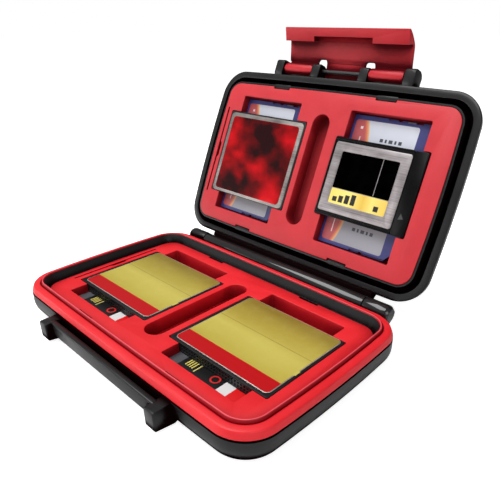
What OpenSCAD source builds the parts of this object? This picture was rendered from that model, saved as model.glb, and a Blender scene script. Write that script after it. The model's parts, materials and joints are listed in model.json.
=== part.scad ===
// Memory card case: two hinged shells, each with a soft insert for one pair of large cards and the
// small cards below them, a rubber seal round the rim and a snap latch at the front.
// The origin is under the middle of the base. X runs along the hinge, Y towards it, Z up.

/* [Insert] */
// Length of the soft insert, between its bowed ends
insert_length = 109.5; // [108:0.1:112]
// Depth of the insert, between its bowed sides
insert_depth = 62; // [61:0.2:64]
// Corner radius of the insert in plan
insert_corner = 5.6; // [5:0.1:9]
// Radius of the bow of the two ends
end_bow = 500; // [250:1:900]
// Radius of the bow of the two long sides
side_bow = 3500; // [2500:100:9000]
// Depth of the recess for a large card
recess_deep = 3.4; // [3.4:0.1:3.7]
// Depth of the pocket for small cards, from the face
pocket_deep = 5.6; // [5.6:0.1:6]
// Distance of the recesses from the middle
recess_x = 28.2; // [27.4:0.1:28.6]
// Width of the finger slot
finger_slot_wide = 8; // [6:0.5:9]
// Length of the finger slot
finger_slot_long = 44.6; // [36:0.2:50]

/* [Shells] */
// Height of the lower insert's face over the ground
face_height = 8.4; // [8.4:0.1:9.6]
// Distance from the upper insert's face to the top of the lid
lid_height = 8.2; // [8.2:0.1:9.6]
// Width of the base's rim, from the insert to the outer wall
base_rim = 6.3; // [6.2:0.1:6.8]
// Width of the lid's rim, from the insert to the outer wall
lid_rim = 5.7; // [5.5:0.1:6.2]
// Gap between the two inserts when the case is shut
shut_gap = 2; // [2:0.1:2.3]
// Angle by which the lid stands open
open_angle = 113.35; // [0:0.05:113.35]

/* [Hinge] */
// Distance of the hinge axis from the middle
hinge_y = 40.86; // [40.8:0.02:41.2]
// Height of the hinge axis over the lower insert's face
hinge_rise = 0.94; // [0.8:0.02:1]
// Half length of the lid's knuckle
knuckle_half = 41.7; // [36:0.1:42]
// Radius of the knuckles
knuckle_radius = 3.1; // [2.8:0.05:3.2]
// Radius of the steel hinge pin
hinge_pin_radius = 1; // [0.8:0.05:1.2]
// Radial clearance of a turning bore round its pin
pin_clearance = 0.06; // [0.02:0.01:0.1]

/* [Latch] */
// Distance of the latch pin from the middle of the lid
latch_v = 39.9; // [39.8:0.05:40.2]
// Depth of the latch pin behind the upper insert's face
latch_deep = 3.9; // [3.8:0.05:4]
// Radius of the latch pin
latch_pin_radius = 0.75; // [0.7:0.05:1]
// Half width of the latch plate
latch_half = 28.1; // [26:0.1:28.1]
// Angle of the latch away from its place in the photographed, open state
latch_angle = 0; // [-20:0.5:69]
// Width of the latch's outer lugs, and of the catch's fins
lug_wide = 4.1; // [3.5:0.1:4.5]

/* [Cards] */
// Width of a large card
large_wide = 42.8; // [42.6:0.1:43]
// Length of a large card
large_long = 36.4; // [36:0.1:36.6]
// Thickness of a large card
large_thick = 3.3; // [3:0.1:3.35]
// Length of a small card
small_long = 32; // [31.8:0.1:32.1]
// Width of a small card
small_wide = 24; // [23.8:0.1:24.2]
// Thickness of a small card
small_thick = 2.1; // [2:0.05:2.1]
// Length of the express card
express_long = 38; // [37:0.1:38.5]
// Width of the express card
express_wide = 29.8; // [29:0.1:30]
// Thickness of the express card
express_thick = 3.8; // [3.4:0.1:4]

/* [Hidden] */
$fn = 48;

// Thickness of the insert under its pockets
insert_floor = 1.2;
insert_thick = pocket_deep + insert_floor;
// Gap round the insert and under each card
seat_gap = 0.05;
recess_wide = large_wide + 0.4;
recess_long = large_long + 0.4;
pocket_wide = small_long + 0.4;
pocket_long = 50.7;
// Places and size of the tabs that hold the insert in its shell
tab_x = 24.8;
tab_wide = 8.5;
tab_deep = 1;
// Rounding of the shells' outer edges: the main radius, the small one that runs out into the
// flat face, and the angle where they meet
base_round = 6.3;
lid_round = 7.7;
flat_round = 1.2;
round_turn = 60;
// Half length of the base's knuckles and of the pins
knuckle_end = 52.2;
knuckle_taper = 1.2;
hinge_pin_half = 51.7;
latch_pin_half = 31.8;
// Reach of the latch's shelf from its pin, past the corners of the catch bar
shelf_reach = 11.2;
// Distance of the small cards from the middle of a pocket
small_y = 12.9;
large_seat = recess_deep - seat_gap;
small_seat = pocket_deep - seat_gap;

// The insert's outline has a corner arc where the bowed end and the bowed side would meet. Its
// centre is the meeting of two circles round the centres of the bows.
end_c = [insert_length / 2 - end_bow, 0];
side_c = [0, insert_depth / 2 - side_bow];
between = side_c - end_c;
apart = norm(between);
end_in = end_bow - insert_corner;
side_in = side_bow - insert_corner;
along = (end_in ^ 2 - side_in ^ 2 + apart ^ 2) / (2 * apart);
across = sqrt(end_in ^ 2 - along ^ 2);
corner_c = end_c + along * between / apart + across * [-between.y, between.x] / apart;
end_turn = atan2(corner_c.y, corner_c.x - end_c.x);
side_turn = atan2(corner_c.y - side_c.y, corner_c.x);
// Directions of the outline's normal round one quarter
turns = concat(
    [for (i = [0:3]) end_turn * i / 4],
    [for (i = [0:8]) end_turn + (side_turn - end_turn) * i / 8],
    [for (i = [1:3]) side_turn + (90 - side_turn) * i / 3]);

// Point of the outline moved out by d, where its normal has the direction a
function edge(a, d) =
    a < end_turn ? end_c + (end_bow + d) * [cos(a), sin(a)]
    : a > side_turn ? side_c + (side_bow + d) * [cos(a), sin(a)]
    : corner_c + (insert_corner + d) * [cos(a), sin(a)];

// The whole outline moved out by d, counterclockwise
function loop(d) =
    let (q = [for (a = turns) edge(a, d)], n = len(q) - 1)
    concat(q,
        [for (i = [n - 1:-1:0]) [-q[i].x, q[i].y]],
        [for (i = [1:n]) -q[i]],
        [for (i = [n - 1:-1:1]) [q[i].x, -q[i].y]]);

// Rounded outer edge of a shell, from its flat face up to its wall: [inset, height] pairs
function floor_edge(r) =
    let (b = flat_round, rise = (r - b) * sin(round_turn) + b, inset = r - (r - b) * cos(round_turn))
    concat(
        [for (t = [90:-10:round_turn + 10]) [inset - b * cos(t), b - b * sin(t)]],
        [for (t = [round_turn:-10:0]) [r - r * cos(t), rise - r * sin(t)]]);

// Faces between stacked rings of n points each
function wall_faces(n, from, to) =
    [for (i = [0:n - 1]) [from * n + i, to * n + i, to * n + (i + 1) % n, from * n + (i + 1) % n]];

// An open tub: rings [offset, height] from the middle of its underside round to its inner floor
module tub(rings) {
    loops = [for (r = rings) loop(r[0])];
    n = len(loops[0]);
    last = len(rings) - 1;
    polyhedron(
        points = [for (j = [0:last]) for (p = loops[j]) [p.x, p.y, rings[j][1]]],
        faces = concat(
            [[for (i = [0:n - 1]) i]],
            [for (j = [0:last - 1]) each wall_faces(n, j, j + 1)],
            [[for (i = [n - 1:-1:0]) last * n + i]]));
}

// A closed band that follows the outline, with a section of [offset, height] points
module band(section) {
    loops = [for (s = section) loop(s[0])];
    n = len(loops[0]);
    m = len(section);
    polyhedron(
        points = [for (j = [0:m - 1]) for (p = loops[j]) [p.x, p.y, section[j][1]]],
        faces = [for (j = [0:m - 1]) each wall_faces(n, j, (j + 1) % m)]);
}

// A prism along X between x0 and x1, with its outline in the YZ plane
module prism_x(x0, x1, outline) {
    translate([x0, 0, 0]) rotate([90, 0, 90]) linear_extrude(x1 - x0) polygon(outline);
}

// A cylinder along X between x0 and x1
module rod_x(x0, x1, r) {
    translate([x0, 0, 0]) rotate([0, 90, 0]) cylinder(r = r, h = x1 - x0);
}

module both_sides() {
    children();
    mirror([1, 0, 0]) children();
}

// Rounded rectangle round the origin
module rounded_plate(wide, long, r, thick) {
    linear_extrude(thick) {
        square([wide - 2 * r, long], center = true);
        square([wide, long - 2 * r], center = true);
        for (x = [-1, 1], y = [-1, 1]) translate([x * (wide / 2 - r), y * (long / 2 - r)]) circle(r);
    }
}

// Places things of the base, with z = 0 at its insert's face
module in_base() {
    translate([0, 0, face_height]) children();
}

// Places things of the lid as it stands open: y up the lid, z out of its insert's face
module in_lid() {
    translate([0, hinge_y, face_height + hinge_rise]) rotate([180 - open_angle, 0, 0])
        translate([0, hinge_y, hinge_rise - shut_gap]) children();
}

// Soft insert, the same moulding in both halves

// Slit beside the left recess that lets its wall give, with an arrow in the middle
module give_slit() {
    slit_x = -52.3;
    slit_deep = 2.6;
    translate([slit_x, 0, -slit_deep]) linear_extrude(slit_deep + 1) {
        square([0.7, 39], center = true);
        polygon([[-0.35, 4.6], [1.1, 3], [1.1, -2.6], [-0.35, -4.4]]);
    }
}

// Half round bumps that grip the right edge of a large card
module grip_bump() {
    translate([recess_x + recess_wide / 2 + 0.02, -4, -recess_deep]) intersection() {
        cylinder(r = 0.8, h = recess_deep - 0.6);
        translate([-0.17, -1, 0]) cube([2, 2, recess_deep]);
    }
}

// The right recess has its own width and length
module insert(right_wide, right_long) {
    difference() {
        translate([0, 0, -insert_thick]) linear_extrude(insert_thick) polygon(loop(0));
        for (s = [-1, 1]) translate([s * recess_x, 0, 0]) {
            translate([0, 0, -recess_deep])
                rounded_plate(s < 0 ? recess_wide : right_wide, s < 0 ? recess_long : right_long, 0.6, 10);
            translate([0, 0, -pocket_deep]) rounded_plate(pocket_wide, pocket_long, 0.6, 10);
        }
        translate([0, 0, -pocket_deep])
            rounded_plate(finger_slot_wide, finger_slot_long, finger_slot_wide / 2 - 0.01, 10);
        for (x = [-tab_x, tab_x], y = [-1, 1]) translate([x, y * insert_depth / 2, 0])
            cube([tab_wide, 2 * tab_deep, 2 * insert_thick + 1], center = true);
        give_slit();
    }
    translate([-2 * recess_x, 0, 0]) grip_bump();
}

module base_tray() {
    color("crimson") in_base() {
        insert(recess_wide, recess_long);
        grip_bump();
    }
}

module lid_tray() color("crimson") in_lid() insert(express_long + 0.4, express_wide + 0.4);

// Base

// Heights of the outer wall, of the inner wall and of the channel between them
base_wall_top = 0.5;
inner_wall_top = 3.2;
seal_seat = -2;

module base_tub() {
    tub(concat(
        [for (p = floor_edge(base_round)) [base_rim - p[0], p[1] - face_height]],
        [[base_rim, base_wall_top - 0.15], [base_rim - 0.15, base_wall_top],
         [5.2, base_wall_top], [5.2, seal_seat], [2.4, seal_seat],
         [2.2, inner_wall_top], [1.85, inner_wall_top], [0.3, 0],
         [seat_gap, -0.1], [seat_gap, -insert_thick]]));
}

// Tabs of a shell that stand in the insert's edge notches
module insert_tabs() {
    for (x = [-tab_x, tab_x], y = [-1, 1]) translate([x, y * (insert_depth / 2 + 0.05), 0])
        translate([-(tab_wide / 2 - 0.1), -(tab_deep - 0.05), -insert_thick - 0.1])
            cube([tab_wide - 0.2, 2 * tab_deep - 0.1, insert_thick - 0.3]);
}

// Catch in front: two fins that guard the latch, and the bar that its hook goes under
module catch() {
    front = -insert_depth / 2 - base_rim;
    fin = [[front + 3, -7], [front + 3, seal_seat - 0.2], [front + 0.8, seal_seat - 0.2],
        [front + 0.8, -0.9], [front + 0.2, -0.2], [-42.9, -0.2], [-43.3, -0.6], [-43.1, -6],
        [-42.6, -6.8], [front + 1, -7.8]];
    both_sides() prism_x(latch_half + 0.2, latch_half + 0.2 + lug_wide, fin);
    bar = [[-39.1, -0.1], [-40.7, -0.1], [-41.1, -0.5], [-41.1, -4.6], [-40.7, -5], [-39.1, -5]];
    prism_x(-latch_half - 1, latch_half + 1, bar);
}

// A knuckle of the base with the web that carries it
module base_knuckle() {
    r = knuckle_radius + 0.1;
    inner = knuckle_half + 0.4;
    wall = insert_depth / 2 + base_rim;
    web = concat(
        [[hinge_y, 0.45], [wall - 0.8, 0.45], [wall - 0.8, seal_seat - 0.2],
         [wall - 2.5, seal_seat - 0.2], [wall - 2.5, -6.3]],
        [for (a = [-55:15:5]) [hinge_y + r * cos(a), hinge_rise + r * sin(a)]]);
    outer = knuckle_end - knuckle_taper;
    prism_x(inner, knuckle_end - 0.4, web);
    translate([0, hinge_y, hinge_rise]) {
        rod_x(inner, outer, r);
        translate([outer, 0, 0]) rotate([0, 90, 0]) cylinder(r1 = r, r2 = r - 1, h = knuckle_taper);
    }
}

module base_shell() {
    color("dimgray") in_base() difference() {
        union() {
            base_tub();
            insert_tabs();
            catch();
            both_sides() base_knuckle();
        }
        translate([0, hinge_y, hinge_rise]) rod_x(-knuckle_end - 1, knuckle_end + 1, hinge_pin_radius);
    }
}

// Rubber seal: a lip that stands in the lid's groove, and a round bead outside it
module base_seal() {
    color("red") in_base() band([
        [2.45, seal_seat + 0.02], [5.15, seal_seat + 0.02], [5.15, base_wall_top + 0.02],
        [6.15, base_wall_top + 0.02], [6.1, 0.85], [5.75, 1.45], [5.2, 2.15], [4.6, 2.75],
        [4.05, 3.1], [3.6, 3.1], [3.3, 2.95], [3.05, 3.25], [2.92, 3.8], [2.65, 4.3], [2.4, 4.35],
        [2.2, 4.1], [1.95, 3.5], [1.88, 3.22], [2.23, 3.22]]);
}

module hinge_pin() {
    color("silver") in_base() translate([0, hinge_y, hinge_rise])
        rod_x(-hinge_pin_half, hinge_pin_half, hinge_pin_radius);
}

// Lid

// Height of the lid's flange, which closes on the seal's bead
lid_flange = -1.35;
// Groove in the lid's rim for the seal's lip: its two walls and its floor
groove_in = 1.1;
groove_out = 3.1;
groove_floor = -6;

module lid_tub() {
    tub(concat(
        [for (p = floor_edge(lid_round)) [lid_rim - p[0], p[1] - lid_height]],
        [[lid_rim - 0.1, lid_flange - 0.05], [lid_rim - 0.3, lid_flange],
         [groove_out, lid_flange], [groove_out, groove_floor], [groove_in, groove_floor],
         [1, -0.05], [0.2, -0.05], [seat_gap, -0.15], [seat_gap, -insert_thick]]));
}

// The lid's long knuckle with its web
module lid_knuckle() {
    axis_h = shut_gap - hinge_rise;
    web = concat(
        [[-38.2, lid_flange - 0.05], [-35, lid_flange - 0.05], [-35, -6.8]],
        [for (a = [235:-15:190]) [-hinge_y + knuckle_radius * cos(a), axis_h + knuckle_radius * sin(a)]]);
    prism_x(-knuckle_half, knuckle_half, [for (i = [len(web) - 1:-1:0]) web[i]]);
    translate([0, -hinge_y, axis_h]) rod_x(-knuckle_half, knuckle_half, knuckle_radius);
}

// Lugs that carry the latch pin: outer ones level with the catch's fins, inner ones lower
module latch_lugs() {
    inside = insert_depth / 2 + groove_out + 0.3;
    lug = [[inside, lid_flange - 0.05], [inside, -6.8], [40.9, -6.8], [42.1, -6], [42.8, -4.6], [42.8, -1.8],
        [42.1, -1], [37.3, -1], [36.6, lid_flange - 0.05]];
    low_lug = [[inside, lid_flange - 0.2], [inside, -6.6], [40.7, -6.6], [41.6, -5.9], [42.1, -4.6],
        [42.1, -2.1], [41.4, -1.3], [37.1, -1.3], [36.6, lid_flange - 0.2]];
    both_sides() {
        prism_x(latch_half + 0.1, latch_half + 0.1 + lug_wide, lug);
        prism_x(9.4, 13.2, low_lug);
    }
}

module lid_shell() {
    color("dimgray") in_lid() difference() {
        union() {
            lid_tub();
            insert_tabs();
            lid_knuckle();
            latch_lugs();
        }
        translate([0, -hinge_y, shut_gap - hinge_rise])
            rod_x(-knuckle_half - 1, knuckle_half + 1, hinge_pin_radius + pin_clearance);
        translate([0, latch_v, -latch_deep]) rod_x(-latch_half - 6, latch_half + 6, latch_pin_radius);
    }
}

module latch_pin() {
    color("silver") in_lid() translate([0, latch_v, -latch_deep])
        rod_x(-latch_pin_half, latch_pin_half, latch_pin_radius);
}

// Latch: a curved plate with a hook along its free edge, and two barrels on the pin. Its section
// is drawn round the pin, with y up the lid and z out of the lid's face.

hook_top = [14.1, 8];
hook_tip = shelf_reach * [cos(30), sin(30)];
shelf_root = shelf_reach * [cos(13.8), sin(13.8)];

latch_section = concat(
    [[3.45, -0.55], [5.8, 0.45], [7.65, 1.2], [9.4, 2]],
    [for (a = [13.8:3.24:30.1]) shelf_reach * [cos(a), sin(a)]],
    [hook_top, [14.45, 7.7], [14, 6.2], [13, 4.1], [11.7, 2.1], [10.1, 0.9], [8.2, 0.1],
     [6.3, -0.7], [3.95, -1.75]]);

// Neck between a barrel and the plate, and the strip behind the bare middle of the pin
barrel_neck = [[3.45, -0.55], [3.95, -1.75], [0.6, -2.42], [0, 0], [2.3, -0.9]];
middle_strip = [[3.45, -0.55], [3.95, -1.75], [1.6, -2.85], [-1.6, -2.9], [-2.5, -2.2], [-2.4, -1.5],
    [0.9, -1.25]];
// Part of the hook that is cut away in the middle
hook_cut = [[11.4, 6.53], [11.9, 4.7], [10.9, 2.85], [8.6, 3], [8.6, 6.5]];

module latch_at_pin() {
    difference() {
        union() {
            prism_x(-latch_half, latch_half, latch_section);
            prism_x(-8.9, 8.9, middle_strip);
            both_sides() {
                prism_x(13.4, 27.7, barrel_neck);
                rod_x(13.4, 27.7, 2.5);
            }
        }
        both_sides() {
            // opening for an inner lug, with round upper corners
            translate([8.9, -5, -5]) cube([4.5, 8.7, 9]);
            translate([10.1, -5, -5]) cube([2.1, 9.9, 9]);
            for (x = [10.1, 12.2]) translate([x, 3.7, -5]) cylinder(r = 1.2, h = 9);
        }
        rod_x(-latch_half, latch_half, latch_pin_radius + pin_clearance);
        prism_x(-13.4, 13.4, hook_cut);
    }
}

module latch() {
    color("red") in_lid() translate([0, latch_v, -latch_deep]) rotate([latch_angle, 0, 0]) latch_at_pin();
}

// Large cards, drawn with their underside at z = 0 and their contacts towards -Y

cover_wide = large_wide - 1.8;
cover_long = large_long - 1.4;
cover_thick = 0.3;
cover_shift = 0.7;
contact_pitch = 1.27;
contact_rows = [1.1, 2.2];

// Plastic frame with the guide slots of its two sides
module large_frame() {
    half = large_wide / 2;
    difference() {
        rounded_plate(large_wide, large_long, 1, large_thick);
        for (z = [-1, large_thick - cover_thick]) translate([0, cover_shift, z])
            rounded_plate(cover_wide, cover_long, 2, 1 + cover_thick);
        for (s = [-1, 1]) translate([s * half, -large_long / 2 + 12, large_thick / 2])
            cube([1.4, 26, s < 0 ? 1.2 : 0.9], center = true);
        translate([-19, -large_long / 2 - 1, 0.55]) cube([38, 4, large_thick - 1.1]);
    }
}

module large_cover() {
    for (z = [0.02, large_thick - cover_thick + 0.02]) translate([0, cover_shift, z])
        rounded_plate(cover_wide - 0.1, cover_long - 0.1, 1.95, cover_thick - 0.04);
}

// Socket strip with two rows of square contact holes
module large_connector() {
    difference() {
        translate([-18.95, -large_long / 2 + 0.1, 0.6]) cube([37.9, 2.8, large_thick - 1.2]);
        for (i = [-12:12], z = contact_rows)
            translate([i * contact_pitch - 0.35, -large_long / 2 - 1, z - 0.35]) cube([0.7, 3, 0.7]);
    }
}

// Express card: a black case with a metal plate on its face and a plain plastic end

plate_long = 31.5;
plate_wide = 26.5;
express_end = 5.4;

module express_case() {
    difference() {
        rounded_plate(express_long, express_wide, 0.8, express_thick);
        translate([-express_long / 2 + 1 + plate_long / 2, 0, express_thick - 0.35])
            rounded_plate(plate_long + 0.06, plate_wide + 0.06, 1, 1);
        translate([express_long / 2 - express_end, -express_wide, -1])
            cube([express_end + 1, 2 * express_wide, express_thick + 2]);
    }
}

// Plate with a shallow window for its label
module express_plate() {
    translate([-express_long / 2 + 1 + plate_long / 2, 0, express_thick - 0.33]) difference() {
        rounded_plate(plate_long, plate_wide, 1, 0.38);
        translate([-0.05, 0.1, 0.26]) rounded_plate(24.2, 19.8, 0.5, 1);
    }
}

module express_end_cap() {
    translate([express_long / 2 - express_end + 0.02, 0, 0]) difference() {
        translate([-1, 0, 0]) linear_extrude(express_thick - 0.1) difference() {
            translate([0, -express_wide / 2]) square([express_end + 0.98, express_wide]);
            translate([-1, -express_wide]) square([2, 2 * express_wide]);
            for (s = [-1, 1]) translate([express_end + 0.98, s * express_wide / 2]) rotate(45)
                square([1.2, 1.2], center = true);
        }
        // small arrow that shows which way the card goes in
        translate([2.2, -8, express_thick - 0.3]) linear_extrude(1) polygon([[0, -1], [1.8, -0.6], [1, 1]]);
    }
}

// Place of the write lock along the small card's edge, and the length of its slot
lock_x = 5.6;
lock_room = 6;

// Small card, drawn with its underside at z = 0, its contact end towards +X and its cut corner
// towards -Y. The raised middle has thin rails along the card's edges.
module small_body() {
    rail = 0.7;
    difference() {
        linear_extrude(small_thick) difference() {
            polygon([[-small_long / 2, -small_wide / 2], [small_long / 2 - 4, -small_wide / 2],
                [small_long / 2, -small_wide / 2 + 4], [small_long / 2, small_wide / 2],
                [-small_long / 2, small_wide / 2]]);
            for (y = [-1, 1]) translate([2.5, y * small_wide / 2]) square([1.6, 1.3], center = true);
        }
        for (y = [-1, 1], z = [-0.05, small_thick - 0.65]) translate([-2, y * small_wide / 2 - rail, z])
            cube([small_long, 2 * rail, 0.7]);
        translate([lock_x - 0.1, small_wide / 2 - 1.3, small_thick / 2 - 0.5]) cube([lock_room, 2, 1]);
    }
}

// Slider of the write lock, in its slot in the card's edge
module small_lock() {
    translate([lock_x, small_wide / 2 - 1.25, small_thick / 2 - 0.4]) cube([3, 1.2, 0.8]);
}

// Seats of the cards in an insert: s is the side, y the place along the pocket
module large_card(s) translate([s * recess_x, 0, -large_seat]) children();
module small_card(s, y) translate([s * recess_x, y, -small_seat]) children();

module base_left_card_frame() color("dimgray") in_base() large_card(-1) large_frame();
module base_left_card_cover() color("gold") in_base() large_card(-1) large_cover();
module base_left_card_connector() color("black") in_base() large_card(-1) large_connector();
module base_right_card_frame() color("dimgray") in_base() large_card(1) large_frame();
module base_right_card_cover() color("gold") in_base() large_card(1) large_cover();
module base_right_card_connector() color("black") in_base() large_card(1) large_connector();
module lid_left_card_frame() color("dimgray") in_lid() large_card(-1) large_frame();
module lid_left_card_cover() color("firebrick") in_lid() large_card(-1) large_cover();
module lid_left_card_connector() color("black") in_lid() large_card(-1) large_connector();
module lid_right_card_case() color("black") in_lid() large_card(1) express_case();
module lid_right_card_plate() color("silver") in_lid() large_card(1) express_plate();
module lid_right_card_end() color("black") in_lid() large_card(1) express_end_cap();

module base_left_small_card() color("dimgray") in_base() small_card(-1, -small_y) small_body();
module base_left_small_lock() color("white") in_base() small_card(-1, -small_y) small_lock();
module base_right_small_card() color("dimgray") in_base() small_card(1, -small_y) small_body();
module base_right_small_lock() color("white") in_base() small_card(1, -small_y) small_lock();
module lid_upper_left_small_card() color("royalblue") in_lid() small_card(-1, small_y) small_body();
module lid_upper_left_small_lock() color("white") in_lid() small_card(-1, small_y) small_lock();
module lid_upper_right_small_card() color("royalblue") in_lid() small_card(1, small_y) small_body();
module lid_upper_right_small_lock() color("white") in_lid() small_card(1, small_y) small_lock();
module lid_lower_left_small_card() color("royalblue") in_lid() small_card(-1, -small_y) small_body();
module lid_lower_left_small_lock() color("white") in_lid() small_card(-1, -small_y) small_lock();
module lid_lower_right_small_card() color("royalblue") in_lid() small_card(1, -small_y) small_body();
module lid_lower_right_small_lock() color("white") in_lid() small_card(1, -small_y) small_lock();

base_shell();
base_seal();
base_tray();
hinge_pin();
lid_shell();
lid_tray();
latch();
latch_pin();
base_left_card_frame();
base_left_card_cover();
base_left_card_connector();
base_right_card_frame();
base_right_card_cover();
base_right_card_connector();
lid_left_card_frame();
lid_left_card_cover();
lid_left_card_connector();
lid_right_card_case();
lid_right_card_plate();
lid_right_card_end();
base_left_small_card();
base_left_small_lock();
base_right_small_card();
base_right_small_lock();
lid_upper_left_small_card();
lid_upper_left_small_lock();
lid_upper_right_small_card();
lid_upper_right_small_lock();
lid_lower_left_small_card();
lid_lower_left_small_lock();
lid_lower_right_small_card();
lid_lower_right_small_lock();
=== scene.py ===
import json
import math

import bmesh
import bpy
from mathutils import Matrix, Vector
from mathutils.geometry import intersect_sphere_sphere_2d


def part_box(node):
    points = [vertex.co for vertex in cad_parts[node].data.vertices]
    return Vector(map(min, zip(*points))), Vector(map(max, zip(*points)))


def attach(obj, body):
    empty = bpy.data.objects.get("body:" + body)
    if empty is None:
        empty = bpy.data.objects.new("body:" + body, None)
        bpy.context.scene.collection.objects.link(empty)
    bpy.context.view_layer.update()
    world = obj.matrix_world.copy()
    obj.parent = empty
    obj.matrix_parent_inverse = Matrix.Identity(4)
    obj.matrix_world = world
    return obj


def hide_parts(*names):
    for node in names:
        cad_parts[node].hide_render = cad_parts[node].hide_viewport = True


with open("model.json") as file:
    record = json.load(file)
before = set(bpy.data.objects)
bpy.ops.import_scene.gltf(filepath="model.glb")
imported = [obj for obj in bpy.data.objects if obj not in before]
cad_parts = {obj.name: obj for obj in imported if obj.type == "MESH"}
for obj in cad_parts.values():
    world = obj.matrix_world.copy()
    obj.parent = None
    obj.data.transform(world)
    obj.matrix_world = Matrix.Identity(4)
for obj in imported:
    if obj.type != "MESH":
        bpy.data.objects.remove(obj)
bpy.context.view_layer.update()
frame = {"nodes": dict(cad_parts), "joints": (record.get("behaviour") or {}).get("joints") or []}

# The studio: a pale table that fades into white, three large soft lamps, a narrow strip lamp and a
# sky that is brighter in front than behind. The camera stands over the front right corner, from
# where the photograph was taken.
EYE = Vector((0.12376, -0.09927, 0.10189))
AZIMUTH, ELEVATION, ROLL = math.radians(44.704), math.radians(24.356), math.radians(-0.252)
FOCAL_PIXELS, FRAME_PIXELS = 516.4, 500
SKY_FRONT, SKY_BACK, HAZE = 0.46, 0.16, 0.8

camera_data = bpy.data.cameras.new("camera")
camera_data.sensor_width = 36
camera_data.lens = 36 * FOCAL_PIXELS / FRAME_PIXELS
camera_data.clip_start = 0.005
camera = bpy.data.objects.new("camera", camera_data)
bpy.context.scene.collection.objects.link(camera)
back = Vector((math.sin(AZIMUTH) * math.cos(ELEVATION), -math.cos(AZIMUTH) * math.cos(ELEVATION),
               math.sin(ELEVATION)))
level = Vector((0, 0, 1)).cross(back).normalized()
upright = back.cross(level)
right = level * math.cos(ROLL) + upright * math.sin(ROLL)
up = upright * math.cos(ROLL) - level * math.sin(ROLL)
camera.matrix_world = Matrix.Translation(EYE) @ Matrix((right, up, back)).transposed().to_4x4()
bpy.context.scene.camera = camera
bpy.context.scene.view_settings.view_transform = "Standard"


def lamp(name, place, aim, size, watts):
    light = bpy.data.lights.new(name, "AREA")
    light.shape = "RECTANGLE"
    light.size, light.size_y = size
    light.energy = watts
    item = bpy.data.objects.new(name, light)
    item.location = place
    item.rotation_euler = (Vector(aim) - Vector(place)).to_track_quat("-Z", "Y").to_euler()
    bpy.context.scene.collection.objects.link(item)


lamp("top_lamp", (-0.15, -0.15, 0.62), (0, 0.02, 0.02), (0.5, 0.4), 4.0)
lamp("side_lamp", (0.65, -0.30, 0.38), (0, 0, 0.03), (0.4, 0.4), 1.3)
lamp("front_lamp", (-0.62, -0.70, 0.16), (0, 0.05, 0.04), (0.7, 0.2), 1.2)
lamp("strip_lamp", (-0.62, -0.70, 0.10), (0, 0.04, 0.02), (0.8, 0.014), 0.9)


def add(tree, kind, inputs={}, **settings):
    """Adds a shader node. Each input is given a value, or the socket that feeds it."""
    node = tree.nodes.new("ShaderNode" + kind)
    for name, value in settings.items():
        setattr(node, name, value)
    for name, value in inputs.items():
        if isinstance(value, bpy.types.NodeSocket):
            tree.links.new(value, node.inputs[name])
        else:
            node.inputs[name].default_value = value
    return node


world = bpy.data.worlds.new("studio")
world.use_nodes = True
bpy.context.scene.world = world
sky = world.node_tree
sky.nodes.clear()
rays = add(sky, "LightPath")
towards = add(sky, "SeparateXYZ", {"Vector": add(sky, "TexCoord").outputs["Generated"]}).outputs["Y"]
glow = add(sky, "MapRange", {"Value": towards, "From Min": -1, "From Max": 1, "To Min": SKY_FRONT, "To Max": SKY_BACK})
lit = add(sky, "Background", {"Color": (1, 1, 1, 1), "Strength": glow.outputs[0]})
seen = add(sky, "Background", {"Color": (1, 1, 1, 1), "Strength": 1.0})
sky_mix = add(sky, "MixShader", {0: rays.outputs["Is Camera Ray"], 1: lit.outputs[0], 2: seen.outputs[0]})
add(sky, "OutputWorld", {"Surface": sky_mix.outputs[0]})

bpy.ops.object.select_all(action="DESELECT")
bpy.ops.mesh.primitive_plane_add(size=6)
table = bpy.context.object
table.name = "table"
table_white = bpy.data.materials.new("table_white")
table_white.use_nodes = True
tree = table_white.node_tree
tree.nodes.clear()
rays = add(tree, "LightPath")
paper = add(tree, "BsdfDiffuse", {"Color": (0.8, 0.8, 0.8, 1)})
dark = add(tree, "Emission", {"Color": (0, 0, 0, 1), "Strength": 0.0})
haze = add(tree, "Emission", {"Color": (1, 1, 1, 1), "Strength": HAZE})
haze_mix = add(tree, "MixShader", {0: rays.outputs["Is Camera Ray"], 1: dark.outputs[0], 2: haze.outputs[0]})
total = add(tree, "AddShader", {0: paper.outputs[0], 1: haze_mix.outputs[0]})
add(tree, "OutputMaterial", {"Surface": total.outputs[0]})
table.data.materials.append(table_white)

# Base shell: the black lower half, injection moulded in ABS with a fine eroded texture. The
# catch in front and the two end knuckles of the hinge behind are moulded on it, and so are the
# four tabs that hold the insert. All sizes are millimetres over the insert's face.
MM = 0.001
joints = {joint["name"]: joint for joint in frame["joints"]}
insert_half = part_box("base_tray")[1] / MM
FACE_HEIGHT = insert_half.z
IN_BASE = Matrix.Diagonal((MM, MM, MM, 1)) @ Matrix.Translation((0, 0, FACE_HEIGHT))
INSERT_THICK = 6.8
SHARP_EDGE = math.radians(35)

END_BOW, SIDE_BOW, CORNER = 500, 3500, 5.6
end_centre = Vector((insert_half.x - END_BOW, 0))
side_centre = Vector((0, insert_half.y - SIDE_BOW))
corner_centre = max(
    intersect_sphere_sphere_2d(end_centre, END_BOW - CORNER, side_centre, SIDE_BOW - CORNER), key=sum)
end_turn = math.atan2(corner_centre.y, corner_centre.x - end_centre.x)
side_turn = math.atan2(corner_centre.y - side_centre.y, corner_centre.x)
BENDS = ((end_centre, end_turn, 4), (corner_centre, side_turn - end_turn, 14),
         (side_centre, math.pi / 2 - side_turn, 4))


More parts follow.
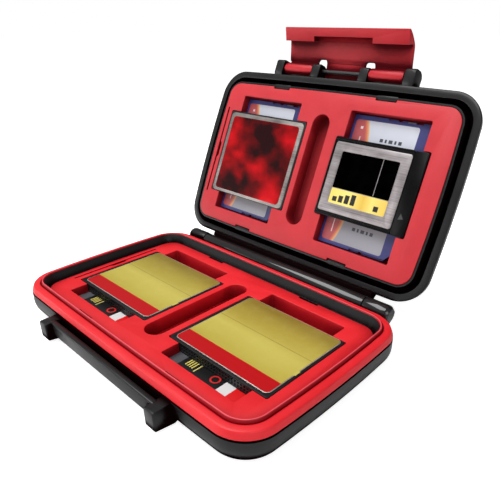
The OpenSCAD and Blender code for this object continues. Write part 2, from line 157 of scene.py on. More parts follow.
def new_mesh(name):
    """A new object in edit mode, whose mesh is one vertex at the origin."""
    bpy.ops.object.select_all(action="DESELECT")
    bpy.ops.mesh.primitive_plane_add(size=1, location=(0, 0, 0))
    piece = bpy.context.object
    piece.name = name
    bpy.ops.object.mode_set(mode="EDIT")
    bpy.ops.mesh.select_mode(type="VERT")
    bpy.ops.mesh.merge(type="CENTER")
    return piece


def draw(points):
    """Draws a chain of edges through the points, from the mesh's first vertex."""
    bpy.ops.transform.translate(value=points[0])
    for here, there in zip(points, points[1:]):
        step = Vector(there) - Vector(here)
        bpy.ops.mesh.extrude_vertices_move(TRANSFORM_OT_translate={"value": step})
    bpy.ops.mesh.select_all(action="SELECT")


def outward(piece):
    bpy.ops.mesh.select_all(action="SELECT")
    bpy.ops.mesh.normals_make_consistent(inside=False)
    bpy.ops.object.mode_set(mode="OBJECT")
    return piece


def mould(name, section, closed=False):
    """A solid whose section of (offset, height) points is spun round the insert's outline."""
    piece = new_mesh(name)
    draw([(insert_half.x + out, 0, height) for out, height in section + section[:1] * closed])
    for centre, turn, steps in BENDS:
        bpy.ops.mesh.spin(steps=steps, angle=turn, center=(*centre, 0), axis=(0, 0, -1))
    for flip in ((-1, 1, 1), (1, -1, 1)):
        bpy.ops.mesh.select_all(action="SELECT")
        bpy.ops.mesh.duplicate()
        bpy.ops.transform.resize(value=flip, center_override=(0, 0, 0))
    bpy.ops.mesh.select_all(action="SELECT")
    bpy.ops.mesh.remove_doubles(threshold=0.002)
    if not closed:
        bpy.ops.mesh.select_mode(type="EDGE")
        bpy.ops.mesh.select_all(action="DESELECT")
        bpy.ops.mesh.select_non_manifold()
        bpy.ops.mesh.edge_face_add()
    return outward(piece)


def extrude_profile(name, x0, x1, outline):
    """A bar along X between x0 and x1, whose side view is the outline of (y, z) points."""
    piece = new_mesh(name)
    draw([(x0, y, z) for y, z in outline])
    bpy.ops.mesh.edge_face_add()
    bpy.ops.mesh.extrude_region_move(TRANSFORM_OT_translate={"value": (x1 - x0, 0, 0)})
    return outward(piece)


def rod(name, x0, x1, y, z, radius, tip=None):
    """A round bar along X. Where a tip radius is given, its end at x1 tapers to it."""
    bpy.ops.object.select_all(action="DESELECT")
    bpy.ops.mesh.primitive_cylinder_add(
        vertices=48, radius=radius, depth=abs(x1 - x0), location=((x0 + x1) / 2, y, z),
        rotation=(0, math.pi / 2, 0))
    piece = bpy.context.object
    piece.name = name
    bpy.ops.object.transform_apply(location=True, rotation=True)
    if tip:
        for vertex in piece.data.vertices:
            if abs(vertex.co.x - x1) < 0.01:
                vertex.co.y = y + (vertex.co.y - y) * tip / radius
                vertex.co.z = z + (vertex.co.z - z) * tip / radius
    return piece


def block(name, low, high):
    bpy.ops.object.select_all(action="DESELECT")
    low, high = Vector(low), Vector(high)
    bpy.ops.mesh.primitive_cube_add(size=1, location=(low + high) / 2)
    piece = bpy.context.object
    piece.name = name
    piece.scale = high - low
    bpy.ops.object.transform_apply(location=True, scale=True)
    return piece


def soften(piece, width, segments=2):
    """Rounds the sharp edges of a piece, as a mould does."""
    bevel = piece.modifiers.new("mould_radius", "BEVEL")
    bevel.width, bevel.segments = width, segments
    bevel.limit_method, bevel.angle_limit = "ANGLE", SHARP_EDGE
    bevel.miter_outer = "MITER_ARC"
    bpy.context.view_layer.objects.active = piece
    bpy.ops.object.modifier_apply(modifier="mould_radius")
    return piece


def mirrored(piece):
    """A copy of the piece on the other side of the middle."""
    bpy.ops.object.select_all(action="DESELECT")
    piece.select_set(True)
    bpy.context.view_layer.objects.active = piece
    bpy.ops.object.duplicate()
    twin = bpy.context.object
    twin.data.transform(Matrix.Scale(-1, 4, (1, 0, 0)))
    twin.data.flip_normals()
    return twin


def joined(first, *others):
    bpy.ops.object.select_all(action="DESELECT")
    for piece in (first, *others):
        piece.select_set(True)
    bpy.context.view_layer.objects.active = first
    bpy.ops.object.join()
    return first


def fit(piece, place, material, body, slot, *nodes, angle=30):
    """Puts a finished piece in its place in the frame, where it stands for those CAD nodes."""
    bpy.ops.object.select_all(action="DESELECT")
    piece.select_set(True)
    bpy.context.view_layer.objects.active = piece
    bpy.ops.object.shade_smooth_by_angle(angle=math.radians(angle))
    piece.data.transform(place)
    piece.data.materials.clear()
    piece.data.materials.append(material)
    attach(piece, body)
    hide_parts(*nodes)
    return piece


def srgb(red, green, blue):
    """A colour as it is read off a photograph, 0 to 255, as a shader colour."""
    linear = [(v / 255 / 12.92) if v <= 10 else ((v / 255 + 0.055) / 1.055) ** 2.4 for v in (red, green, blue)]
    return (*linear, 1)


def ramp(tree, factor, *stops):
    """A colour ramp through (position, colour) stops, driven by factor."""
    node = add(tree, "ValToRGB", {"Fac": factor})
    steps = node.color_ramp.elements
    while len(steps) < len(stops):
        steps.new(0.5)
    for step, (position, colour) in zip(steps, stops):
        step.position = position
        step.color = colour
    return node.outputs["Color"]


def effect(name, inputs, outputs):
    """A new shader node group with its input and output nodes."""
    tree = bpy.data.node_groups.new(name, "ShaderNodeTree")
    for label, value in inputs.items():
        tree.interface.new_socket(label, in_out="INPUT", socket_type="NodeSocketFloat").default_value = value
    for label, kind in outputs.items():
        tree.interface.new_socket(label, in_out="OUTPUT", socket_type="NodeSocket" + kind)
    return tree, tree.nodes.new("NodeGroupInput").outputs, tree.nodes.new("NodeGroupOutput").inputs


def use(tree, group, **values):
    node = tree.nodes.new("ShaderNodeGroup")
    node.node_tree = group
    for label, value in values.items():
        node.inputs[label].default_value = value
    return node.outputs


# The moulded grain: fine pits all over, with slow changes of tone over a few millimetres
moulded_grain, given, result = effect(
    "moulded_grain", {"Pits": 2600, "Depth": 0.2, "Tone": 90}, {"Normal": "Vector", "Tone": "Float"})
place = add(moulded_grain, "TexCoord").outputs["Object"]
pits = add(moulded_grain, "TexNoise", {"Vector": place, "Scale": given["Pits"], "Detail": 3, "Roughness": 0.6})
bumps = add(moulded_grain, "Bump", {"Strength": given["Depth"], "Distance": 0.0001, "Height": pits.outputs["Fac"]})
tone = add(moulded_grain, "TexNoise", {"Vector": place, "Scale": given["Tone"], "Detail": 4, "Roughness": 0.55})
moulded_grain.links.new(bumps.outputs["Normal"], result["Normal"])
moulded_grain.links.new(tone.outputs["Fac"], result["Tone"])

# Rubbing from handling, and painted highlight: a broken lighter line where an edge turns
edge_wear_and_highlight, given, result = effect("edge_wear_and_highlight", {"Width": 0.0003, "Amount": 1.0}, {"Mask": "Float"})
turned = add(edge_wear_and_highlight, "Bevel", {"Radius": given["Width"]}, samples=4)
true_normal = add(edge_wear_and_highlight, "NewGeometry")
match = add(edge_wear_and_highlight, "VectorMath", {0: turned.outputs[0], 1: true_normal.outputs["Normal"]}, operation="DOT_PRODUCT")
spots = add(edge_wear_and_highlight, "TexNoise", {"Vector": add(edge_wear_and_highlight, "TexCoord").outputs["Object"], "Scale": 700, "Detail": 4})
edge = add(edge_wear_and_highlight, "MapRange", {"Value": match.outputs["Value"], "From Min": 0.99, "From Max": 0.80})
broken = add(edge_wear_and_highlight, "MapRange", {"Value": spots.outputs["Fac"], "From Min": 0.42, "From Max": 0.62})
worn_and_lit = add(edge_wear_and_highlight, "Math", {0: edge.outputs[0], 1: broken.outputs[0]}, operation="MULTIPLY")
amount = add(edge_wear_and_highlight, "Math", {0: worn_and_lit.outputs[0], 1: given["Amount"]}, operation="MULTIPLY")
edge_wear_and_highlight.links.new(amount.outputs[0], result["Mask"])

# A mask for painted shade in deep places: 1 where the walls round a spot shut the light out
painted_shade_in_recesses, given, result = effect("painted_shade_in_recesses", {"Reach": 0.009, "Amount": 0.75, "Open": 0.88, "Shut": 0.3}, {"Mask": "Float"})
shut_in = add(painted_shade_in_recesses, "AmbientOcclusion", {"Distance": given["Reach"]}, samples=16)
closed_off = add(painted_shade_in_recesses, "MapRange", {
    "Value": shut_in.outputs["AO"], "From Min": given["Open"], "From Max": given["Shut"]})
amount = add(painted_shade_in_recesses, "Math", {0: closed_off.outputs[0], 1: given["Amount"]}, operation="MULTIPLY")
painted_shade_in_recesses.links.new(amount.outputs[0], result["Mask"])


def new_material(name):
    material = bpy.data.materials.new(name)
    material.use_nodes = True
    tree = material.node_tree
    return material, tree, tree.nodes["Principled BSDF"]


def moulded(name, dark, light, worn_and_lit, roughness, pits=2600, depth=0.2, wear_and_highlight=0.5, gloss=0.5, coat=0.0, polish=0.07,
            painted_shade=None, reach=0.009, shut=0.3, deep=0.75):
    """A moulded plastic or rubber: two tones, a lighter tone on its edges for rubbing and painted highlight, painted
    shade in its deep places, a fine grain.
    """
    material, tree, shader = new_material(name)
    grain = use(tree, moulded_grain, Pits=pits, Depth=depth)
    edges = use(tree, edge_wear_and_highlight, Amount=wear_and_highlight)
    body = ramp(tree, grain["Tone"], (0.3, dark), (0.7, light))
    colour = add(tree, "MixRGB", {"Fac": edges["Mask"], "Color1": body, "Color2": worn_and_lit})
    # painted shade: where the mask is 1, a dark shade colour is laid on the colour, and the gloss and coat fade away
    if painted_shade:
        painted_shade_mask = use(tree, painted_shade_in_recesses, Reach=reach, Shut=shut, Amount=deep)
        colour = add(tree, "MixRGB", {"Fac": painted_shade_mask["Mask"], "Color1": colour.outputs[0], "Color2": painted_shade})
        dull = add(tree, "MapRange", {"Value": painted_shade_mask["Mask"], "To Min": gloss, "To Max": 0})
        tree.links.new(dull.outputs[0], shader.inputs["Specular IOR Level"])
        bare = add(tree, "MapRange", {"Value": painted_shade_mask["Mask"], "To Min": coat, "To Max": 0})
        tree.links.new(bare.outputs[0], shader.inputs["Coat Weight"])
    rough = add(tree, "MapRange", {"Value": grain["Tone"], "From Min": 0.3, "From Max": 0.7,
                                   "To Min": roughness - 0.04, "To Max": roughness + 0.05})
    tree.links.new(colour.outputs[0], shader.inputs["Base Color"])
    tree.links.new(rough.outputs[0], shader.inputs["Roughness"])
    tree.links.new(grain["Normal"], shader.inputs["Normal"])
    shader.inputs["Specular IOR Level"].default_value = gloss
    shader.inputs["Coat Weight"].default_value = coat
    shader.inputs["Coat Roughness"].default_value = polish
    return material


# the lighter edge tone (78, 78, 81) is also a painted highlight on the edges, and the dark tone (15, 5, 6) is painted
# shade in deep places
shell_black = moulded("shell_black", srgb(15, 15, 16), srgb(22, 22, 24), srgb(78, 78, 81), 0.42,
                      gloss=0.26, coat=0.2, wear_and_highlight=0.7, painted_shade=srgb(15, 5, 6), reach=0.006, shut=0.76, deep=1.0)
knuckle_black = moulded("knuckle_black", srgb(13, 13, 14), srgb(19, 19, 20), srgb(48, 48, 50), 0.4, gloss=0.12,
                        coat=1.0, polish=0.02, wear_and_highlight=0.1, depth=0.02)

BASE_RIM, BASE_ROUND = 6.3, 6.3
FLAT_ROUND, ROUND_TURN = 1.2, 60


def rounded_edge(radius):
    """(inset, height) points of a shell's outer edge, from its flat face up to its wall."""
    turn = math.radians(ROUND_TURN)
    inset = radius - (radius - FLAT_ROUND) * math.cos(turn)
    rise = (radius - FLAT_ROUND) * math.sin(turn) + FLAT_ROUND
    foot = [math.radians(t) for t in (90, 80, 70)]
    wall = [math.radians(t) for t in range(ROUND_TURN, -1, -6)]
    return [(inset - FLAT_ROUND * math.cos(t), FLAT_ROUND - FLAT_ROUND * math.sin(t)) for t in foot] + [
        (radius - radius * math.cos(t), rise - radius * math.sin(t)) for t in wall]


outside = [(BASE_RIM - inset, rise - FACE_HEIGHT) for inset, rise in rounded_edge(BASE_ROUND)]
base_tub = mould("base_shell_tub", outside + [
    (6.3, -0.3), (6.25, -0.16), (6.12, -0.1), (5.62, -0.08), (5.58, 0.5), (5.2, 0.5), (5.2, -2), (2.4, -2),
    (2.22, 3.1), (2.12, 3.2), (1.92, 3.2), (1.8, 3.08), (0.3, 0), (0.05, -0.1), (0.05, -INSERT_THICK)])

TAB_X, TAB_WIDE, TAB_DEEP, TAB_FOOT, TAB_TOP = 24.8, 8.3, 1.9, -6.9, -0.4


def make_tabs():
    """The four tabs of a shell, which stand in the notches of its insert."""
    tabs = []
    for x in (-TAB_X, TAB_X):
        for y in (-insert_half.y - 0.05, insert_half.y + 0.05):
            tab = block("tab", (x - TAB_WIDE / 2, y - TAB_DEEP / 2, TAB_FOOT),
                        (x + TAB_WIDE / 2, y + TAB_DEEP / 2, TAB_TOP))
            tabs.append(soften(tab, 0.12))
    return tabs


base_tabs = make_tabs()

# catch: a fin at each side and the bar between them
LATCH_HALF = 28.1
front = -insert_half.y - BASE_RIM
fin = extrude_profile("catch_fin", LATCH_HALF + 0.2, LATCH_HALF + 4.3, [
    (front + 3, -7), (front + 3, -2.2), (front + 0.8, -2.2), (front + 0.8, -0.9), (front + 0.2, -0.2),
    (-42.9, -0.2), (-43.3, -0.6), (-43.1, -6), (-42.6, -6.8), (front + 1, -7.8)])
soften(fin, 0.25, 3)
bar = extrude_profile("catch_bar", -LATCH_HALF - 1, LATCH_HALF + 1, [
    (-39.1, -0.1), (-40.7, -0.1), (-41.1, -0.5), (-41.1, -4.6), (-40.7, -5), (-39.1, -5)])
soften(bar, 0.2, 2)

# knuckles of the hinge, each with the web that carries it and a tapered outer end
hinge_place = Vector(joints["lid_hinge"]["pos_m"]) / MM
HINGE_Y, HINGE_RISE = hinge_place.y, hinge_place.z - FACE_HEIGHT
KNUCKLE_HALF, KNUCKLE_RADIUS, KNUCKLE_END, KNUCKLE_TAPER = 41.7, 3.1, 52.2, 1.2
KNUCKLE_GAP, END_RADIUS, TIP_RADIUS = 0.4, 3.2, 2.2
wall = insert_half.y + BASE_RIM
low_arc = [math.radians(t) for t in range(-55, 6, 12)]
web = extrude_profile("knuckle_web", KNUCKLE_HALF + KNUCKLE_GAP, KNUCKLE_END - 0.4, [
    (HINGE_Y, 0.45), (wall - 0.8, 0.45), (wall - 0.8, -2.2), (wall - 2.5, -2.2), (wall - 2.5, -6.3)] + [
    (HINGE_Y + END_RADIUS * math.cos(t), HINGE_RISE + END_RADIUS * math.sin(t)) for t in low_arc])
knuckle = rod("base_knuckle", KNUCKLE_HALF + KNUCKLE_GAP, KNUCKLE_END - KNUCKLE_TAPER, HINGE_Y, HINGE_RISE,
              END_RADIUS)
knuckle_tip = rod("knuckle_tip", KNUCKLE_END - KNUCKLE_TAPER - 0.01, KNUCKLE_END, HINGE_Y, HINGE_RISE,
                  END_RADIUS, tip=TIP_RADIUS)
for piece in (web, knuckle, knuckle_tip):
    soften(piece, 0.2, 2)
arms = [fin, web, knuckle, knuckle_tip]
twins = [mirrored(piece) for piece in arms]
base_shell = joined(base_tub, *base_tabs, bar, fin, web, *twins)
base_shell.name = "base_shell_moulding"
fit(base_shell, IN_BASE, shell_black, "base", "shell_black", "base_shell")
# handling has polished the right knuckle, as it has the lid's long one
joined(knuckle, knuckle_tip)
knuckle.name = "base_shell_right_knuckle"
fit(knuckle, IN_BASE, knuckle_black, "base", "shell_black")

# Seal: a ring of soft red rubber, pressed into the channel of the base's rim. Its thin lip goes
# into the groove of the lid, and its round bead outside closes the gap between the shells.
# the lighter edge tone (250, 100, 110) is a painted highlight on the seal's edges, and the dark red (120, 8, 18) is
# painted shade in its groove and deep places
seal_red = moulded("seal_red", srgb(218, 26, 36), srgb(230, 32, 43), srgb(250, 100, 110), 0.44,
                   pits=1500, depth=0.10, wear_and_highlight=0.5, gloss=0.4, painted_shade=srgb(120, 8, 18), reach=0.0022, shut=0.5,
                   deep=0.95)
# the lip's steep sides lie in shade, and its thin top catches the light
tree = seal_red.node_tree
shader = tree.nodes["Principled BSDF"]
rise = add(tree, "SeparateXYZ", {"Vector": add(tree, "TexCoord").outputs["Object"]}).outputs["Z"]
colour = shader.inputs["Base Color"].links[0].from_socket
for foot, head, tone, strength in ((2.95, 3.15, srgb(140, 10, 22), 0.8), (3.7, 3.8, srgb(240, 84, 98), 0.8)):
    step = add(tree, "MapRange", {"Value": rise, "From Min": (FACE_HEIGHT + foot) * MM,
                                  "From Max": (FACE_HEIGHT + head) * MM, "To Max": strength})
    colour = add(tree, "MixRGB", {"Fac": step.outputs[0], "Color1": colour, "Color2": tone}).outputs[0]
tree.links.new(colour, shader.inputs["Base Color"])
seal = mould("seal_ring", [
    (2.45, -1.98), (5.15, -1.98), (5.15, 0.52), (6.12, 0.52), (6.2, 0.6), (6.21, 0.74), (6.12, 1.0), (5.97, 1.4),
    (5.83, 1.8), (5.7, 2.14), (5.6, 2.38), (5.5, 2.56), (5.34, 2.7), (5.12, 2.78), (4.7, 2.84), (4.2, 2.9),
    (3.7, 2.93), (3.3, 2.92), (3.14, 2.85), (3.03, 2.7), (2.96, 2.5), (2.86, 2.42), (2.76, 2.5), (2.7, 2.8),
    (2.6, 3.3), (2.52, 3.62), (2.42, 3.8), (2.3, 3.86), (2.16, 3.85), (2.05, 3.74), (1.96, 3.5), (1.9, 3.3),
    (1.98, 3.22), (2.22, 3.22)], closed=True)
fit(seal, IN_BASE, seal_red, "base", "seal_red", "base_seal", angle=60)

# Insert of the base: one soft red moulding, pushed into the shell. Each half has a recess for a
# large card over a deeper pocket for small ones, and a finger slot lies between them.
# the dark red (70, 2, 10) is painted shade in the pockets, the finger slot and other deep places
insert_red = moulded("insert_red", srgb(217, 25, 34), srgb(229, 30, 40), srgb(238, 66, 72), 0.5,
                     pits=1900, depth=0.12, wear_and_highlight=0.10, gloss=0.4, painted_shade=srgb(70, 2, 10), shut=0.45)
# The lid insert's red is a darker copy of the base insert's red, painted shade for the lid's face, which leans back
# from the lamp above; its dark red (64, 4, 12) is painted shade in deep places
lid_insert_red_shaded = moulded("lid_insert_red_shaded", srgb(186, 37, 45), srgb(198, 43, 52), srgb(214, 76, 84), 0.5,
                         pits=1900, depth=0.12, wear_and_highlight=0.10, gloss=0.4, painted_shade=srgb(64, 4, 12), shut=0.5)
RECESS_X, RECESS_DEEP, POCKET_DEEP = 28.2, 3.4, 5.6
LARGE_RECESS, EXPRESS_RECESS, POCKET, FINGER_SLOT = (43.2, 36.8), (38.4, 30.2), (32.4, 50.7), (8, 44.6)
SLIT_LEFT, SLIT_FLOOR, OVER_FACE = -52.65, -2.6, 5


def rounded_block(name, middle, wide, long, radius, low, high):
    """A block with round upright edges."""
    x, y = middle
    piece = block(name, (x - wide / 2, y - long / 2, low), (x + wide / 2, y + long / 2, high))
    bpy.ops.object.mode_set(mode="EDIT")
    bpy.ops.mesh.select_mode(type="EDGE")
    bpy.ops.mesh.select_all(action="DESELECT")
    mesh = bmesh.from_edit_mesh(piece.data)
    for side in mesh.edges:
        side.select_set(abs(side.verts[0].co.z - side.verts[1].co.z) > 0.5 * (high - low))
    bmesh.update_edit_mesh(piece.data)
    bpy.ops.mesh.bevel(offset=radius, offset_type="OFFSET", segments=8, affect="EDGES", clamp_overlap=False)
    bpy.ops.mesh.select_all(action="SELECT")
    bpy.ops.mesh.remove_doubles(threshold=0.001)
    return outward(piece)


def cut(piece, *tools):
    """Cuts the tools out of the piece, one after the other."""
    for tool in tools:
        boolean = piece.modifiers.new("cut", "BOOLEAN")
        boolean.object, boolean.operation, boolean.solver = tool, "DIFFERENCE", "EXACT"
        bpy.context.view_layer.objects.active = piece
        bpy.ops.object.modifier_apply(modifier="cut")
        bpy.data.objects.remove(tool)
    return piece


def make_insert(name, right_recess=LARGE_RECESS, grip=True):
    """The soft insert of one half, with its recesses, pockets, finger slot, notches and edge slit."""
    slab = mould(name, [(0, -INSERT_THICK), (0, 0)])
    tools = []
    for x, recess in ((-RECESS_X, LARGE_RECESS), (RECESS_X, right_recess)):
        tools.append(rounded_block("recess", (x, 0), *recess, 0.6, -RECESS_DEEP, OVER_FACE))
        tools.append(rounded_block("pocket", (x, 0), *POCKET, 0.6, -POCKET_DEEP, OVER_FACE))
    tools.append(rounded_block("finger_slot", (0, 0), *FINGER_SLOT, 3.99, -POCKET_DEEP, OVER_FACE))
    for x in (-TAB_X, TAB_X):
        for y in (-insert_half.y, insert_half.y):
            tools.append(block("notch", (x - 4.25, y - 1, -9), (x + 4.25, y + 1, OVER_FACE)))
    tools.append(block("slit", (SLIT_LEFT, -19.5, SLIT_FLOOR), (SLIT_LEFT + 0.7, 19.5, OVER_FACE)))
    arrow = extrude_profile("arrow", 0, 7.6, [(-4.4, 0), (-2.6, 1.45), (3, 1.45), (4.6, 0)])
    arrow.data.transform(Matrix(((0, 0, 1, SLIT_LEFT), (0, 1, 0, 0), (1, 0, 0, SLIT_FLOOR), (0, 0, 0, 1))))
    arrow.data.flip_normals()
    tools.append(arrow)
    cut(slab, *tools)
    bumps = []
    for x in (-RECESS_X, RECESS_X) if grip else ():
        bump = rod("grip_bump", 0, 2.8, 0, 0, 0.8)
        bump.data.transform(Matrix.Translation((x + 21.62, -4, -RECESS_DEEP)) @ Matrix.Rotation(-math.pi / 2, 4, "Y"))
        bumps.append(bump)
    soften(slab, 0.22, 3)
    return joined(slab, *bumps)


base_insert = make_insert("base_insert")
fit(base_insert, IN_BASE, insert_red, "base", "insert_red", "base_tray", angle=40)

# Lid shell: the black upper half, moulded like the base. Its rim has a groove for the seal's lip,
# its back edge the hinge's long knuckle, and its front edge four lugs for the latch pin.
lid_open = joints["lid_hinge"]["range_deg"][1]
SHUT_GAP = 2
IN_LID = (Matrix.Diagonal((MM, MM, MM, 1)) @ Matrix.Translation((0, HINGE_Y, FACE_HEIGHT + HINGE_RISE))
          @ Matrix.Rotation(math.radians(180 - lid_open), 4, "X")
          @ Matrix.Translation((0, HINGE_Y, HINGE_RISE - SHUT_GAP)))
LID_RIM, LID_ROUND, LID_HEIGHT = 5.7, 7.7, 8.2
FLANGE, GROOVE_FLOOR = -1.35, -6

outside = [(LID_RIM - inset, rise - LID_HEIGHT) for inset, rise in rounded_edge(LID_ROUND)]
lid_tub = mould("lid_shell_tub", outside + [
    (5.66, -1.52), (5.55, -1.4), (5.4, FLANGE), (3.25, FLANGE), (3.14, -1.4), (3.1, -1.5), (3.1, GROOVE_FLOOR),
    (0.9, GROOVE_FLOOR), (0.85, -0.4), (0.75, -0.3), (0.2, -0.3), (0.05, -0.4), (0.05, -INSERT_THICK)])
lid_tabs = make_tabs()

axis_h = SHUT_GAP - HINGE_RISE
back_arc = [math.radians(t) for t in range(190, 236, 9)]
lid_web = extrude_profile("lid_knuckle_web", -KNUCKLE_HALF, KNUCKLE_HALF, [
    (-35, -6.8), (-35, FLANGE - 0.05), (-38.2, FLANGE - 0.05)] + [
    (-HINGE_Y + KNUCKLE_RADIUS * math.cos(t), axis_h + KNUCKLE_RADIUS * math.sin(t)) for t in back_arc])
lid_knuckle = rod("lid_knuckle", -KNUCKLE_HALF, KNUCKLE_HALF, -HINGE_Y, axis_h, KNUCKLE_RADIUS)

LATCH_V, LATCH_DEEP = 39.9, 3.9
inside = insert_half.y + 3.4
lug = extrude_profile("outer_lug", LATCH_HALF + 0.1, LATCH_HALF + 4.2, [
    (inside, FLANGE - 0.05), (inside, -6.8), (40.9, -6.8), (42.1, -6), (42.8, -4.6), (42.8, -1.8), (42.1, -1),
    (37.3, -1), (36.6, FLANGE - 0.05)])
low_lug = extrude_profile("inner_lug", 9.4, 13.2, [
    (inside, FLANGE - 0.2), (inside, -6.6), (40.7, -6.6), (41.6, -5.9), (42.1, -4.6), (42.1, -2.1), (41.4, -1.3),
    (37.1, -1.3), (36.6, FLANGE - 0.2)])
for piece in (lid_web, lid_knuckle, lug, low_lug):
    soften(piece, 0.2, 2)
arms = [lug, low_lug]
lid_shell = joined(lid_tub, *lid_tabs, lid_web, *arms, *[mirrored(piece) for piece in arms])
lid_shell.name = "lid_shell_moulding"
fit(lid_shell, IN_LID, shell_black, "lid", "shell_black", "lid_shell")
lid_knuckle.name = "lid_shell_knuckle"
fit(lid_knuckle, IN_LID, knuckle_black, "lid", "shell_black")

# Insert of the lid: the same soft red moulding as in the base, but its right recess is cut for the
# narrower express card, and it has no grip bumps.
lid_insert = make_insert("lid_insert", right_recess=EXPRESS_RECESS, grip=False)
# the lid's insert takes the darker copy of the red: painted shade
fit(lid_insert, IN_LID, lid_insert_red_shaded, "lid", "insert_red", "lid_tray", angle=40)

# Pins: drawn steel wire, pressed into the end knuckles and into the lid's lugs. The latch pin is
# blackened. Both are shown as the CAD has them, in another material.
pin_steel, tree, shader = new_material("pin_steel")
grain = use(tree, moulded_grain, Pits=5200, Depth=0.05, Tone=240)
steel = ramp(tree, grain["Tone"], (0.3, srgb(150, 150, 152)), (0.7, srgb(190, 190, 190)))
tree.links.new(steel, shader.inputs["Base Color"])
tree.links.new(grain["Normal"], shader.inputs["Normal"])
shader.inputs["Metallic"].default_value = 1.0
shader.inputs["Roughness"].default_value = 0.32
pin_black = moulded("pin_black", srgb(16, 15, 16), srgb(26, 25, 26), srgb(80, 80, 82), 0.36, pits=5200, depth=0.05)


def dress(node, material):
    """Gives the material to a CAD piece that is shown as it is."""
    mesh = frame["nodes"][node].data
    mesh.materials.clear()
    mesh.materials.append(material)


dress("hinge_pin", pin_steel)
dress("latch_pin", pin_black)

# Latch: a curved plate of red plastic that turns on the latch pin. Its hooked free edge
# snaps over the bar of the catch, and two barrels between the lugs carry it on the pin.
# The latch's dark red (54, 4, 10) is painted shade on the plate under the hooked lip and in other deep places
latch_red = moulded("latch_red", srgb(176, 29, 39), srgb(190, 36, 46), srgb(218, 80, 87), 0.42,
                    pits=1800, depth=0.06, wear_and_highlight=0.2, gloss=0.28, painted_shade=srgb(54, 4, 10), reach=0.014, shut=0.76,
                    deep=0.9)
SHELF = 11.2
IN_LATCH = IN_LID @ Matrix.Translation((0, LATCH_V, -LATCH_DEEP))
shelf_arc = [math.radians(13.8 + 3.24 * step) for step in range(6)]
latch = extrude_profile("latch_plate", -LATCH_HALF, LATCH_HALF, [
    (3.45, -0.55), (4.6, -0.02), (5.8, 0.45), (7.65, 1.2), (9.4, 2)] + [
    (SHELF * math.cos(t), SHELF * math.sin(t)) for t in shelf_arc] + [
    (14.1, 8), (14.45, 7.7), (14.3, 7), (14, 6.2), (13.55, 5.1), (13, 4.1), (12.4, 3.1), (11.7, 2.1), (11, 1.4),
    (10.1, 0.9), (8.2, 0.1), (6.3, -0.7), (3.95, -1.75)])
windows = [rounded_block("lug_window", (x, -0.65), 4.5, 11.1, 1.2, -6, 6) for x in (-11.15, 11.15)]
lip_cut = extrude_profile("lip_cut", -13.4, 13.4, [(11.4, 6.53), (11.9, 4.7), (10.9, 2.85), (8.6, 3), (8.6, 6.5)])
cut(latch, *windows, lip_cut)
soften(latch, 0.15, 2)
strip = extrude_profile("latch_strip", -8.9, 8.9, [
    (3.45, -0.55), (3.95, -1.75), (1.6, -2.85), (-1.6, -2.9), (-2.5, -2.2), (-2.4, -1.5), (0.9, -1.25)])
neck = extrude_profile("barrel_neck", 13.4, 27.7, [(3.45, -0.55), (3.95, -1.75), (0.6, -2.42), (0, 0), (2.3, -0.9)])
barrel = rod("latch_barrel", 13.4, 27.7, 0, 0, 2.5)
for piece in (strip, neck, barrel):
    soften(piece, 0.15, 2)
arms = [neck, barrel]
joined(latch, strip, *arms, *[mirrored(piece) for piece in arms])
fit(latch, IN_LATCH, latch_red, "latch", "latch_red", "latch")

# Large cards: a black plastic body with a steel cover on each face and a printed foil on the
# upper one. Their socket, with two rows of contact holes, lies along the front edge.
CARD_WIDE, CARD_LONG, CARD_THICK = 42.8, 36.4, 3.3
CARD_SEAT = RECESS_DEEP - 0.05

card_black = moulded("card_black", srgb(14, 14, 16), srgb(22, 22, 24), srgb(64, 65, 68), 0.4,
                     pits=3800, depth=0.12, wear_and_highlight=0.3, gloss=0.3)


def brushed(name, dark, light, roughness, metallic):
    """Rolled or brushed sheet metal, with fine streaks across the width of the piece."""
    material, tree, shader = new_material(name)
    place = add(tree, "TexCoord").outputs["Object"]
    stretched = add(tree, "Mapping", {"Vector": place, "Scale": (60, 5200, 5200)}).outputs[0]
    streaks = add(tree, "TexNoise", {"Vector": stretched, "Scale": 1.0, "Detail": 3})
    cloud = add(tree, "TexNoise", {"Vector": place, "Scale": 160, "Detail": 3})
    both = add(tree, "Math", {0: streaks.outputs["Fac"], 1: cloud.outputs["Fac"]}, operation="ADD")
    half = add(tree, "Math", {0: both.outputs[0], 1: 0.5}, operation="MULTIPLY")
    tree.links.new(ramp(tree, half.outputs[0], (0.36, dark), (0.62, light)), shader.inputs["Base Color"])
    bump = add(tree, "Bump", {"Height": streaks.outputs["Fac"], "Strength": 0.15, "Distance": 0.00005})
    tree.links.new(bump.outputs[0], shader.inputs["Normal"])
    rough = add(tree, "MapRange", {
        "Value": cloud.outputs["Fac"], "To Min": roughness - 0.06, "To Max": roughness + 0.08})
    tree.links.new(rough.outputs[0], shader.inputs["Roughness"])
    shader.inputs["Metallic"].default_value = metallic
    return material


cover_steel = brushed("cover_steel", srgb(176, 168, 160), srgb(214, 206, 198), 0.32, 0.7)
dull_steel = brushed("dull_steel", srgb(112, 106, 104), srgb(160, 154, 150), 0.4, 0.7)


def print_map(piece, wide, long):
    """Maps a printed face onto the piece: 0 to 1 across its width and its length."""
    sheet = piece.data.uv_layers.active.data
    for loop in piece.data.loops:
        spot = piece.data.vertices[loop.vertex_index].co
        sheet[loop.index].uv = (spot.x / wide + 0.5, spot.y / long + 0.5)


def printed_at(tree):
    """The place on a printed face, across and along, 0 to 1."""
    spot = add(tree, "SeparateXYZ", {"Vector": add(tree, "TexCoord").outputs["UV"]})
    return spot.outputs["X"], spot.outputs["Y"]


